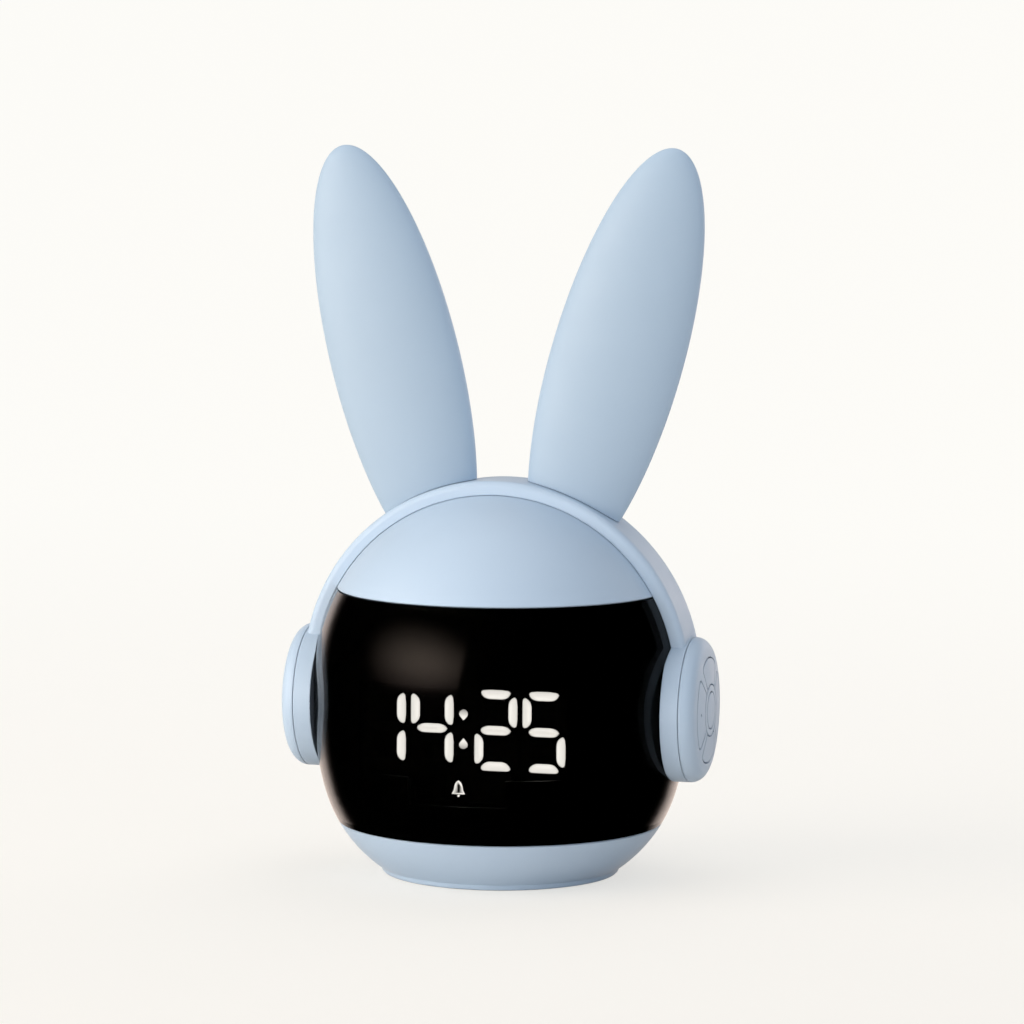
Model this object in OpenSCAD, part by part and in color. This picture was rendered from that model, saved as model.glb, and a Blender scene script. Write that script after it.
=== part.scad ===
// Bedside alarm clock with a night light: a ball-shaped body with a wrap-around dark
// window, a headphone-shaped arch with two round side cups, and two tall lit ears.
// Millimetres. X is to the right, Y to the back, Z up. The origin is under the middle
// of the body, on the table.

/* [Body] */
// Largest radius of the round body
body_r = 47.35; // [44:0.05:58]
// Height of the centre of the domed top
dome_z = 49.8; // [47:0.1:60]
// Height at which the straight waist ends and the flank begins
waist_z = 40.46; // [38:0.01:44]
// Radius of the flank curve below the waist
flank_r = 69.25; // [62:0.25:75]
// Radius of the hip curve that runs under to the base
hip_r = 36; // [34:0.5:38]
// Height at which the hip curve ends and the base's rim begins
base_z = 1.6; // [1:0.1:3]
// Radius of the base's rim near the table
rim_r = 30.05; // [29.6:0.05:30.3]
// Gap that the foot ring keeps between the base's rim and the table
foot_show = 0.25; // [0.1:0.05:0.6]
// Wall thickness of the housing
wall = 2.2; // [1.6:0.1:3]
// Thickness of the housing's floor
floor_t = 3.2; // [2.4:0.1:4]
// Gap in every seam between two mouldings
seam = 0.15; // [0.1:0.05:0.3]
// Distance behind the middle at which the rear cover meets the front housing
split_y = 14; // [12:0.5:18]
// Chamfer on the edges that face the window
edge_chamfer = 0.45; // [0.2:0.05:0.8]

/* [Window] */
// Height of the window's lower edge
glass_lo = 13.4; // [11:0.1:20]
// Height of the window's upper edge
glass_hi = 72; // [62:0.1:76]
// Thickness of the window
glass_t = 1.8; // [1.2:0.1:2.2]
// Thickness of the black frame behind the window
frame_t = 1.2; // [1:0.1:1.6]

/* [Display] */
// Distance of the display's face in front of the middle
disp_y = 36.2; // [34:0.1:37]
// Half of the display's width
disp_half_w = 26; // [24:0.1:26.4]
// Height of the middle of the digits
digit_z = 41.4; // [39:0.1:44]
// Distance of the outer digits' centres from the middle
outer_digit_x = 20.15; // [19:0.05:20.4]
// Distance of the inner digits' centres from the middle
inner_digit_x = 8.05; // [7.5:0.05:8.5]
// Sideways distance of a digit's upright segments from its centre
seg_dx = 4.28; // [4:0.02:4.5]
// Height of a digit's top segment over its middle segment
seg_dz = 8.9; // [8.4:0.05:9.2]
// Length of one segment
seg_l = 7.5; // [7:0.1:7.8]
// Width of one segment
seg_w = 2.25; // [1.8:0.05:2.4]
// Height of the bell mark's lower edge
bell_z = 25.3; // [24.5:0.1:26]
// Depth of the display module
disp_depth = 7; // [5:0.5:9]

/* [Headband and cups] */
// How far the arch's outside stands out from the dome
arch_rise = 2.95; // [1.45:0.1:6.65]
// Width of the arch, front to back
arch_w = 16; // [14:0.5:18]
// Rounding of the arch's two rims
arch_rim_r = 1.6; // [0.8:0.1:2]
// Height of the cups' axis
cup_z = 43.3; // [40:0.1:46]
// Radius of the cups
cup_r = 18.25; // [17.5:0.05:20]
// How far a cup's inner rim reaches inside the body's widest radius
cup_sink = 2.15; // [1.35:0.1:2.75]
// How far the seam between cup and cap lies outside the body's widest radius
cup_out = 2.31; // [2.15:0.02:4.65]
// Distance of the middle of a cap's face from that seam
cap_h = 4.84; // [4.14:0.1:8.34]
// Radius of a cap's domed face
cap_crown_r = 110; // [80:1:200]
// Rounding of a cap's edge
cap_edge_r = 3.6; // [2.6:0.1:3.6]
// Wall thickness of cups and caps
cup_wall = 1.6; // [1.2:0.1:2]
// Outer radius of the hollow boss that carries a cup
boss_r = 6; // [5:0.1:8]
// Bore of that boss
boss_bore_r = 3.5; // [2.5:0.1:4]

/* [Buttons] */
// Radius of the round middle button
mid_button_r = 4.5; // [4:0.1:5]
// Inner radius of the four outer buttons
petal_in_r = 6.7; // [6.2:0.1:7.5]
// Outer radius of the four outer buttons
petal_out_r = 13.1; // [12:0.1:13.4]
// Angle that the upper and lower buttons span
petal_deg_tall = 66; // [56:1:70]
// Angle that the front and rear buttons span
petal_deg_wide = 84; // [70:1:88]
// Rounding of the outer buttons' corners
petal_corner_r = 1; // [0.4:0.1:1.6]
// Gap all round each button
button_gap = 0.35; // [0.3:0.05:0.4]
// Travel of each button
button_travel = 0.5; // [0.3:0.05:0.5]
// Width of the lip that keeps each button in the cap
button_lip = 0.6; // [0.5:0.05:0.7]

/* [Ears] */
// Sideways distance of the ear axis from the middle, at the height of ear_root_drop
ear_root_x = 19; // [17:0.1:22]
// How far under the dome's top that height lies
ear_root_drop = 2.15; // [0:0.05:7]
// Outward tilt of an ear
ear_tilt = 15.6; // [8:0.1:20]
// Backward lean of an ear
ear_lean = 2.5; // [0:0.1:6]
// Height of the ear's widest place above its root, along the ear
ear_mid = 36.3; // [30:0.1:42]
// Half length of the oval that the ear is part of
ear_half_l = 55.6; // [46:0.1:66]
// Half width of the ear
ear_half_w = 16.9; // [14:0.1:18]
// Half thickness of the ear
ear_half_t = 6.6; // [5:0.1:7.2]
// Wall thickness of the ear
ear_wall = 2; // [1.4:0.1:2.4]
// Half width of the tenon that plugs the ear into the head
tenon_half_w = 8; // [6:0.1:9]
// Half thickness of that tenon
tenon_half_t = 3.8; // [3.6:0.1:4.2]

/* [Rear and base] */
// Outer radius of the foot ring
foot_r = 28.6; // [26:0.1:28.8]
// Width of the foot ring
foot_w = 8; // [5:0.5:12]
// Depth to which the foot ring is let into the floor
foot_inset = 1; // [0.6:0.1:1.4]
// Radius of the loudspeaker
speaker_r = 18; // [14:0.5:19]
// Height of the loudspeaker's axis
speaker_z = 50; // [46:0.5:54]
// Radius of one hole of the speaker grille
grille_hole_r = 0.9; // [0.6:0.1:1.1]
// Distance between the rings of grille holes
grille_step = 3.6; // [3:0.1:4]
// Height of the charging socket's axis
usb_z = 12.4; // [11.5:0.1:13.5]
// Diameter of the battery cell
cell_d = 18.3; // [14:0.1:18.5]
// Length of the battery cell
cell_l = 65; // [50:0.5:65]

/* [Hidden] */

$fn = 96;
eps = 0.01;
big = 300;

blue = "#b9cfe6";
black = "#0a0a0b";
white = "#f2f3ec";
board_green = "#2f6b46";
steel = "#b8bcc0";

// Slope at which the flank curve hands over to the hip curve, as an exact sine and cosine
flank_sin = 0.28;
flank_cos = 0.96;

// The arch, the cups and the ears follow the body's size
arch_r = body_r + arch_rise;
cup_in_x = body_r - cup_sink;
cup_seam_x = body_r + cup_out;
cap_x = cup_seam_x + cap_h;
ear_root_z = dome_z + body_r - ear_root_drop;

// Centre of the hip curve, from the curves above it
hip_x = body_r - flank_r + (flank_r - hip_r) * flank_cos;
hip_cz = waist_z - (flank_r - hip_r) * flank_sin;

// Chamfer on the lower edge of the base's rim
rim_chamfer = 0.3;

// How deep the pieces behind the window lie under the body's surface
frame_depth = glass_t + seam;
ledge_depth = frame_depth + frame_t + seam;
ledge_t = 1.7;
shelf_depth = ledge_depth + ledge_t;
shelf_h = 4;
ledge_h = 3;
post_front_y = -9;
tongue_t = 1.4;
tongue_l = 4;
tongue_z0 = 29;
tongue_z1 = 60;
flange_l = 3;
chord_fn = 48;

// Screws of the rear cover: [sideways distance, height]
screw_r = 1.45;
screw_hole_r = 1.6;
pilot_r = 1.5;
screw_head_r = 2.6;
screw_head_h = 2;
screw_l = 7;
well_bore_r = screw_head_r + 0.4;
well_r = well_bore_r + 1.2;
rear_screws = [[-32.5, 22], [32.5, 22], [-30, 68], [30, 68]];
well_end_t = 2;
housing_boss_l = 6;

function flank_low(t) = waist_z - (flank_r - t) * flank_sin;

// Radius of the body at a height, t under its surface
function body_radius(z, t = 0) =
    z >= dome_z ? sqrt(pow(body_r - t, 2) - pow(z - dome_z, 2))
    : z >= waist_z ? body_r - t
    : z >= flank_low(t) ? body_r - flank_r + sqrt(pow(flank_r - t, 2) - pow(z - waist_z, 2))
    : hip_x + sqrt(pow(hip_r - t, 2) - pow(z - hip_cz, 2));

// ---- Profiles of the body ------------------------------------------------------------

module strip(z0, z1) {
    translate([0, z0])
        square([big, z1 - z0]);
}

// Half section of the body, t under its surface and cut off at floor_z
module body_2d(t = 0, floor_z = base_z) {
    intersection() {
        translate([0, dome_z])
            circle(body_r - t);
        strip(dome_z, dome_z + big);
    }
    translate([0, waist_z])
        square([body_r - t, dome_z - waist_z]);
    intersection() {
        translate([body_r - flank_r, waist_z])
            circle(flank_r - t);
        strip(flank_low(t), waist_z);
    }
    intersection() {
        translate([hip_x, hip_cz])
            circle(hip_r - t);
        strip(floor_z, flank_low(t));
    }
}

// Half section of the layer from t0 to t1 under the surface, between two heights
module layer_2d(t0, t1, z0, z1) {
    intersection() {
        difference() {
            body_2d(t0);
            body_2d(t1);
        }
        strip(z0, z1);
    }
}

// Turns a half section round the upright axis, starting behind the clock, or in front
module around(start = 90) {
    rotate([0, 0, start])
        rotate_extrude()
            children();
}

module layer(t0, t1, z0, z1, start = 90) {
    around(start)
        layer_2d(t0, t1, z0, z1);
}

module body_solid(t = 0, floor_z = base_z, start = 90) {
    around(start)
        body_2d(t, floor_z);
}

// Everything in front of (or behind) the plane at y
module in_front_of(y) {
    translate([-big, y - 2 * big, -big])
        cube(2 * big);
}

module behind(y) {
    translate([-big, y, -big])
        cube(2 * big);
}

module along_x(x, y, z) {
    translate([x, y, z])
        rotate([0, 90, 0])
            children();
}

module along_y(x, y, z) {
    translate([x, y, z])
        rotate([-90, 0, 0])
            children();
}

module both_sides() {
    children();
    mirror([1, 0, 0])
        children();
}

// ---- Front housing and rear cover ------------------------------------------------------

// Chamfer that runs round the housing where it meets the window, cut at height z
module window_edge_cut(z) {
    around()
        translate([body_radius(z), z])
            rotate(45)
                square(edge_chamfer * sqrt(2), center = true);
}

// Half section of the base's rim, which runs down round the foot ring
module rim_2d() {
    inner = foot_r - foot_w / 2;
    polygon([
        [inner, foot_show], [rim_r - rim_chamfer, foot_show],
        [rim_r, foot_show + rim_chamfer], [body_radius(base_z), base_z], [inner, base_z]
    ]);
}

// The housing's skin with its floor, without the window zone
module skin() {
    difference() {
        union() {
            body_solid(0);
            around()
                rim_2d();
        }
        body_solid(wall, base_z + floor_t);
        around()
            strip(glass_lo - seam, glass_hi + seam);
        window_edge_cut(glass_lo - seam);
        window_edge_cut(glass_hi + seam);
        foot_recess();
    }
}

module foot_recess() {
    translate([0, 0, -1])
        difference() {
            cylinder(r = foot_r + seam, h = base_z + foot_inset + 1);
            translate([0, 0, -1])
                cylinder(r = foot_r - foot_w - seam, h = base_z + foot_inset + 3);
        }
}

// Bores in the side posts that take the hollow bosses of the cups
module boss_bores(r) {
    both_sides()
        along_x(body_r - 12, 0, cup_z)
            cylinder(r = r, h = 14);
}

module front_housing() {
    color(blue)
    difference() {
        union() {
            intersection() {
                skin();
                in_front_of(split_y - seam / 2);
            }
            intersection() {
                union() {
                    // Shelves that the window's edges meet, and the ledges behind them
                    layer(wall - 0.2, shelf_depth, glass_lo - shelf_h, glass_lo - seam);
                    layer(wall - 0.2, shelf_depth, glass_hi + seam, glass_hi + shelf_h);
                    layer(ledge_depth, shelf_depth, glass_lo - shelf_h, glass_lo + ledge_h);
                    layer(ledge_depth, shelf_depth, glass_hi - ledge_h, glass_hi + shelf_h);
                    intersection() {
                        layer(ledge_depth, shelf_depth, glass_lo - shelf_h, glass_hi + shelf_h);
                        behind(post_front_y);
                    }
                }
                in_front_of(split_y - seam / 2);
            }
            housing_bosses();
            board_hangers();
        }
        boss_bores(boss_r + seam);
        ear_slots(2);
        for (p = rear_screws)
            along_y(p[0], split_y - housing_boss_l - 1, p[1])
                cylinder(r = pilot_r, h = housing_boss_l + 2);
    }
}

// Screw bosses for the rear cover, each webbed to the side post beside it
module housing_bosses() {
    intersection() {
        for (p = rear_screws) {
            along_y(p[0], split_y - housing_boss_l, p[1])
                cylinder(r = well_r - 0.6, h = housing_boss_l - seam / 2);
            translate([p[0] > 0 ? p[0] : -body_r, split_y - housing_boss_l, p[1] - 1])
                cube([body_r - abs(p[0]), housing_boss_l - seam / 2, 2]);
        }
        body_solid(shelf_depth - 0.3);
    }
}

// Two bosses under the domed top that carry the main board
hanger_x = 19;
hanger_z = 76;
hanger_l = 7;
hanger_web = 3.2;
board_y = 0.4;
board_t = 1.6;
module board_hangers() {
    intersection() {
        both_sides() {
            along_y(hanger_x, board_y + board_t, hanger_z)
                difference() {
                    cylinder(r = 3, h = hanger_l);
                    translate([0, 0, -1])
                        cylinder(r = small_pilot_r, h = hanger_l);
                }
            translate([hanger_x - 1, board_y + board_t + hanger_l - hanger_web, hanger_z + 2.5])
                cube([2, hanger_web, 30]);
        }
        body_solid(wall - 0.2);
    }
}

speaker_wall_y = 40.4;
module rear_cover() {
    rim_depth = shelf_depth + seam;
    color(blue)
    difference() {
        union() {
            intersection() {
                difference() {
                    body_solid(0, base_z, -90);
                    body_solid(wall, base_z + floor_t, -90);
                }
                behind(split_y + seam / 2);
            }
            // Rim that meets the front housing, and the two tongues that locate inside it
            intersection() {
                layer(wall - 0.2, rim_depth + tongue_t, base_z + floor_t - 0.2, big, -90);
                behind(split_y + seam / 2);
                in_front_of(split_y + flange_l);
            }
            intersection() {
                layer(rim_depth, rim_depth + tongue_t, tongue_z0, tongue_z1, -90);
                behind(split_y - tongue_l);
                in_front_of(split_y + flange_l - 0.5);
            }
            // Screw wells
            intersection() {
                for (p = rear_screws)
                    along_y(p[0], split_y + seam / 2, p[1])
                        cylinder(r = well_r, h = big);
                body_solid(0.2, base_z, -90);
            }
            // Ring that locates the loudspeaker
            intersection() {
                along_y(0, speaker_wall_y - 5, speaker_z)
                    cylinder(r = speaker_r + 2, h = big);
                body_solid(wall - 0.2, base_z, -90);
            }
            charge_posts();
        }
        foot_recess();
        for (p = rear_screws) {
            along_y(p[0], split_y - 1, p[1])
                cylinder(r = screw_hole_r, h = well_end_t + 2);
            along_y(p[0], split_y + well_end_t, p[1])
                cylinder(r = well_bore_r, h = big);
        }
        along_y(0, split_y, speaker_z)
            cylinder(r = speaker_r + seam, h = speaker_wall_y - split_y);
        along_y(0, split_y, speaker_z)
            cylinder(r = speaker_r - 1.5, h = big);
        difference() {
            along_y(0, split_y + 10, speaker_z)
                cylinder(r = grille_r + seam, h = big);
            body_solid(grille_t + 0.1, base_z, -90);
        }
        charge_opening();
    }
}

// ---- Window and the black frame behind it ----------------------------------------------

module display_window() {
    color(black)
    difference() {
        intersection() {
            layer(0, glass_t, glass_lo, glass_hi);
            in_front_of(split_y - seam / 2);
        }
        boss_bores(boss_r + 0.4);
    }
}

// Outline of the display module seen from the front, widened by g
module display_outline(g = 0) {
    translate([-disp_half_w - g, digit_z - seg_dz - seg_w / 2 - 1.1 - g])
        square([2 * (disp_half_w + g), 2 * seg_dz + seg_w + 2.2 + 2 * g]);
    translate([-12 - g, bell_z - 1.8 - g])
        square([24 + 2 * g, 10]);
}

// Stands a 2D shape up as seen from the front, from y back by depth
module upright(y, depth) {
    translate([0, y + depth, 0])
        rotate([90, 0, 0])
            linear_extrude(depth)
                children();
}

frame_boss_x = 28.7;
frame_boss_r = 2.4;
frame_boss_z = [31, 57];
frame_pilot_l = 3;
display_back_y = -disp_y + disp_depth;
small_pilot_r = 1.1;
small_screw_r = 1.05;
module window_frame() {
    color(black)
    difference() {
        union() {
            layer(frame_depth, frame_depth + frame_t, glass_lo, glass_hi);
            intersection() {
                both_sides()
                    for (z = frame_boss_z)
                        along_y(frame_boss_x, display_back_y - 14, z)
                            cylinder(r = frame_boss_r, h = 14);
                body_solid(frame_depth + 0.2);
            }
        }
        behind(split_y - seam / 2);
        boss_bores(boss_r + 0.4);
        upright(-body_r - 1, body_r)
            display_outline(0.3);
        both_sides()
            for (z = frame_boss_z)
                along_y(frame_boss_x, display_back_y - frame_pilot_l, z)
                    cylinder(r = small_pilot_r, h = 6);
    }
}

// ---- Display ---------------------------------------------------------------------------

// Outline of an upright segment. Its outer side, at +x, is the straight one.
module seg_upright(g = 0) {
    w = seg_w / 2 + g;
    l = seg_l / 2 + g;
    polygon([
        [0.45 * w, l], [0.85 * w, l - 0.7], [w, l - 2.2], [w, 2.2 - l], [0.85 * w, 0.7 - l],
        [0.45 * w, -l], [-0.1 * w, 0.35 - l], [-0.75 * w, 1.1 - l], [-w, 2.1 - l],
        [-w, l - 2.1], [-0.75 * w, l - 1.1], [-0.1 * w, l - 0.35]
    ]);
}

// Outline of the middle segment, pointed at both ends
module seg_middle(g = 0) {
    w = seg_w / 2 + g;
    l = seg_l / 2 + 0.1 + g;
    polygon([
        [l, 0], [l - 0.5, 0.4 * w], [l - 1.3, 0.85 * w], [l - 2.2, w],
        [2.2 - l, w], [1.3 - l, 0.85 * w], [0.5 - l, 0.4 * w], [-l, 0],
        [0.5 - l, -0.4 * w], [1.3 - l, -0.85 * w], [2.2 - l, -w],
        [l - 2.2, -w], [l - 1.3, -0.85 * w], [l - 0.5, -0.4 * w]
    ]);
}

// One segment of a digit, a to g clockwise from the top with g in the middle
module segment(s, g = 0) {
    if (s == "a")
        translate([0, seg_dz]) rotate(90) seg_upright(g);
    if (s == "b")
        translate([seg_dx, seg_dz / 2 + 0.2]) seg_upright(g);
    if (s == "c")
        translate([seg_dx, -seg_dz / 2 - 0.2]) seg_upright(g);
    if (s == "d")
        translate([0, -seg_dz]) rotate(-90) seg_upright(g);
    if (s == "e")
        translate([-seg_dx, -seg_dz / 2 - 0.2]) rotate(180) seg_upright(g);
    if (s == "f")
        translate([-seg_dx, seg_dz / 2 + 0.2]) rotate(180) seg_upright(g);
    if (s == "g")
        seg_middle(g);
}

// Segments that light up in each digit, from left to right, to show 14:25
digit_xs = [-outer_digit_x, -inner_digit_x, inner_digit_x, outer_digit_x];
digits_lit = ["bc", "bcfg", "abdeg", "acdfg"];
function has(text, letter) = len(search(letter, text)) > 0;

module digits(lit, g = 0) {
    for (i = [0:3])
        translate([digit_xs[i], digit_z])
            for (s = "abcdefg")
                if (has(digits_lit[i], s) == lit)
                    segment(s, g);
}

// One dot of the colon: round, with a point towards the other dot
module colon_dot(g = 0) {
    circle(r = 1.1 + g, $fn = chord_fn);
    polygon([[-1.05 - g, -0.4], [0, -1.75 - g], [1.05 + g, -0.4]]);
}

module colon(g = 0) {
    for (side = [1, -1])
        translate([-0.15, digit_z + side * 3.85])
            rotate(side > 0 ? 0 : 180)
                colon_dot(g);
}

// Bell mark of the set alarm, with a 1 left open in it
bell_x = -1.3;
module bell(g = 0) {
    translate([bell_x, bell_z]) {
        difference() {
            polygon([
                [-1.6 - g, -g], [1.6 + g, -g], [1.15 + g, 1], [0.95 + g, 2.1],
                [0.65 + g, 2.85], [0, 3.4 + g], [-0.65 - g, 2.85], [-0.95 - g, 2.1],
                [-1.15 - g, 1]
            ]);
            if (g == 0)
                polygon([
                    [-0.15, 0.4], [0.3, 0.4], [0.3, 2.35], [0, 2.35], [-0.42, 1.95],
                    [-0.42, 1.6], [-0.15, 1.75]
                ]);
        }
        translate([0, -0.45])
            circle(r = 0.32 + g, $fn = 16);
    }
}

seg_depth = 2.4;
seg_fit = 0.05;
module display_module() {
    color(black)
    difference() {
        upright(-disp_y, disp_depth)
            display_outline();
        upright(-disp_y - 1, seg_depth + seg_fit + 1) {
            digits(true, seg_fit);
            digits(false, seg_fit);
            colon(seg_fit);
            bell(seg_fit);
        }
    }
}

module lit_segments() {
    color(white)
    upright(-disp_y, seg_depth) {
        digits(true);
        colon();
        bell();
    }
}

module dark_segments() {
    color("#26282a")
    upright(-disp_y, seg_depth)
        digits(false);
}

module display_board() {
    color(board_green)
    difference() {
        translate([-frame_boss_x - 2.2, display_back_y, frame_boss_z[0] - 3.5])
            cube([2 * frame_boss_x + 4.4, board_t, frame_boss_z[1] - frame_boss_z[0] + 7]);
        both_sides()
            for (z = frame_boss_z)
                along_y(frame_boss_x, display_back_y - 1, z)
                    cylinder(r = small_pilot_r + 0.15, h = board_t + 2);
    }
}

// ---- Headband with its two cups ----------------------------------------------------------

arch_low = body_r - 8;
rim_y = arch_w / 2 - arch_rim_r;

// Section of the arch, with rounded rims
module arch_2d() {
    translate([arch_low, -rim_y])
        square([arch_r - arch_low, 2 * rim_y]);
    for (s = [-1, 1])
        mirror([0, s > 0 ? 0 : 1]) {
            translate([arch_low, rim_y])
                square([arch_r - arch_rim_r - arch_low, arch_rim_r]);
            intersection() {
                translate([arch_r - arch_rim_r, rim_y])
                    circle(arch_rim_r);
                translate([arch_r - arch_rim_r, rim_y])
                    square(arch_rim_r);
            }
        }
}

module arch() {
    translate([0, 0, dome_z])
        rotate([90, 0, 0])
            rotate([0, 0, -90])
                rotate_extrude()
                    arch_2d();
}

cup_floor_x = body_r + 1.3;
cup_bore_r = cup_r - cup_wall;
boss_end_x = body_r - shelf_depth - 1.4;
cope_gap = 0.1;
module headband() {
    color(blue)
    difference() {
        union() {
            intersection() {
                arch();
                translate([-cup_seam_x, -big, cup_z])
                    cube([2 * cup_seam_x, 2 * big, big]);
            }
            both_sides()
                along_x(cup_in_x, 0, cup_z)
                    cylinder(r = cup_r, h = cup_seam_x - cup_in_x);
        }
        body_solid(-cope_gap);
        both_sides() {
            along_x(cup_floor_x, 0, cup_z)
                cylinder(r = cup_bore_r, h = big);
        }
        boss_bores(boss_bore_r);
        ear_slots(8);
    }
    color(blue)
    both_sides()
        along_x(boss_end_x, 0, cup_z)
            difference() {
                cylinder(r = boss_r, h = cup_floor_x - boss_end_x);
                translate([0, 0, -1])
                    cylinder(r = boss_bore_r, h = big);
            }
}

// ---- Caps of the cups ----------------------------------------------------------------------

cap_lip_in = 0.6;
cap_lip_r = cup_bore_r - seam;

// Half section of the space inside a cap's face, t under its surface, drawn with the
// cup's axis upright and heights measured from the middle of the clock
module cap_2d(t = 0, x0 = 0) {
    r = cup_r - t;
    e = cap_edge_r - t;
    c = cap_crown_r - t;
    cx = cap_x - cap_crown_r;
    ex = cx + sqrt(pow(c - e, 2) - pow(r - e, 2));
    a = asin((r - e) / (c - e));
    intersection() {
        translate([0, cx])
            circle(c, $fn = 200);
        translate([0, x0])
            square([c * sin(a), big]);
    }
    translate([0, x0])
        square([r, ex - x0]);
    translate([0, x0])
        square([r - e + eps, ex - x0 + eps]);
    translate([r - e, ex])
        intersection() {
            circle(e);
            square(e);
        }
    polygon([
        [0, ex - eps], [r - e, ex - eps], [c * sin(a), cx + c * cos(a)], [0, cx + c * cos(a)]
    ]);
}

// The solid inside a cap's face, along +X
module cap_solid(t = 0, x0 = 0) {
    translate([0, 0, cup_z])
        rotate([0, 90, 0])
            rotate_extrude()
                cap_2d(t, x0);
}

module cap_shell() {
    difference() {
        cap_solid(0, cup_seam_x + seam);
        cap_solid(cup_wall, 0);
    }
    along_x(cup_seam_x - cap_lip_in, 0, cup_z)
        difference() {
            cylinder(r = cap_lip_r, h = cap_lip_in + 1.2);
            translate([0, 0, -1])
                cylinder(r = cap_lip_r - 1.2, h = big);
            translate([0, 0, cap_lip_in + seam])
                difference() {
                    cylinder(r = big, h = big);
                    cylinder(r = cup_r - cup_wall + 0.1, h = big);
                }
        }
}

module left_cap() {
    color(blue)
    mirror([1, 0, 0])
        cap_shell();
}

// What a rounding takes off one corner of an outer button's outline. c is the middle of the
// rounding, side the way that the straight edge faces, and arc_r the radius of the arc.
// The rounding crosses both edges by a hair, so that no edges only touch.
cross = 0.02;
module petal_corner(c, side, arc_r, r) {
    to_edge = r * side;
    to_arc = c * (arc_r / norm(c) - 1);
    difference() {
        polygon([c, c + to_edge, c + 1.4 * (to_edge + to_arc), c + to_arc]);
        translate(c)
            circle(r + cross);
    }
}

// Outline of one outer button, seen along the cup's axis and moved out by g. p holds the
// angle that it is centred on and the angle that it spans.
module petal_2d(p, g = 0) {
    half = p[1] / 2;
    apex = -g / sin(half);
    r = petal_corner_r;
    rotate(p[0])
        difference() {
            intersection() {
                difference() {
                    circle(petal_out_r + g);
                    circle(petal_in_r - g);
                }
                polygon([
                    [apex, 0], [apex + big * cos(half), big * sin(half)], [2 * big, 0],
                    [apex + big * cos(half), -big * sin(half)]
                ]);
            }
            for (s = [-1, 1])
                for (arc = [[petal_out_r, 1], [petal_in_r, -1]]) {
                    d = arc[0] - arc[1] * r;
                    a = half - asin(r / d);
                    petal_corner(
                        d * [cos(a), s * sin(a)], [-sin(half), s * cos(half)],
                        arc[0] + arc[1] * g, r + g
                    );
                }
        }
}

// Turns a 2D shape, drawn as seen from outside the right cup, into a bar along X
module cup_bar(x0, x1) {
    translate([x0, 0, cup_z])
        rotate([90, 0, 90])
            linear_extrude(x1 - x0)
                children();
}

// Direction and span of each outer button, seen from outside the right cup
up_petal = [90, petal_deg_tall];
down_petal = [270, petal_deg_tall];
front_petal = [180, petal_deg_wide];
rear_petal = [0, petal_deg_wide];
petals = [up_petal, down_petal, front_petal, rear_petal];

module right_cap() {
    color(blue)
    difference() {
        cap_shell();
        cup_bar(cup_seam_x, cap_x + 1) {
            circle(mid_button_r + button_gap);
            for (p = petals)
                petal_2d(p, button_gap);
        }
        ring_groove();
    }
}

// Fine groove that joins the inner gaps of the outer buttons into one ring
groove_d = 0.35;
module ring_groove() {
    along_x(cap_x - groove_d - 0.2, 0, cup_z)
        difference() {
            cylinder(r = petal_in_r - eps, h = 2);
            translate([0, 0, -1])
                cylinder(r = petal_in_r - button_gap + eps, h = 4);
        }
}

// Stack under the buttons: board on the cup's floor, mat on the board, then the gap
cup_board_t = 0.6;
mat_t = 0.7;
mat_dome_h = 0.3;
mat_top_x = cup_floor_x + seam / 3 + cup_board_t + mat_t;
button_foot_x = mat_top_x + mat_dome_h + button_travel + 0.15;
button_shelf_x = button_foot_x + 0.4;
lip_gap = 0.3;

// A button: its face follows the cap's dome, and its lip stays under the cap
module button(face, lip) {
    intersection() {
        cup_bar(button_foot_x + 0.2, cap_x + 1)
            children(0);
        cap_solid(0, 0);
    }
    intersection() {
        cup_bar(button_shelf_x, cap_x + 1)
            children(1);
        cap_solid(cup_wall + lip_gap, 0);
    }
}

module middle_button() {
    color(blue) {
        button() {
            circle(mid_button_r);
            circle(mid_button_r + button_lip);
        }
        cup_bar(button_foot_x, button_foot_x + 1)
            circle(2);
    }
}

module petal_button(p) {
    color(blue)
    difference() {
        petal_body(p);
        // A dimple in the front button, for finding it by touch
        if (p == front_petal)
            along_x(cap_x - dimple_drop, -dome_rho, cup_z)
                cylinder(r = dimple_r, h = 2);
    }
}

module petal_body(p) {
    union() {
        button() {
            petal_2d(p);
            petal_2d(p, button_lip);
        }
        cup_bar(button_foot_x, button_foot_x + 1)
            rotate(p[0])
                translate([dome_rho, 0])
                    circle(2);
    }
}

dome_rho = 10;
dimple_r = 0.4;
dimple_drop = 0.75;
module button_mat() {
    color("#d8dcdf")
    union() {
        along_x(mat_top_x - mat_t, 0, cup_z)
            cylinder(r = cap_lip_r - 1.2 - 0.3, h = mat_t);
        cup_bar(mat_top_x - 0.1, mat_top_x + mat_dome_h) {
            circle(1.8);
            for (p = petals)
                rotate(p[0])
                    translate([dome_rho, 0])
                        circle(1.8);
        }
    }
}

module button_board() {
    color(board_green)
    along_x(cup_floor_x + seam / 3, 0, cup_z)
        cylinder(r = cap_lip_r - 1.2 - 0.3, h = cup_board_t);
}

// ---- Ears ----------------------------------------------------------------------------------

ear_gap = 0.15;
ear_sides = 36;
ear_rings = 28;
ear_inner_rings = 12;
tenon_end = -7;
tenon_wall = 1.3;
ear_floor = 1.6;

module at_ear() {
    translate([ear_root_x, 0, ear_root_z])
        rotate([-ear_lean, ear_tilt, 0])
            children();
}

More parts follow.
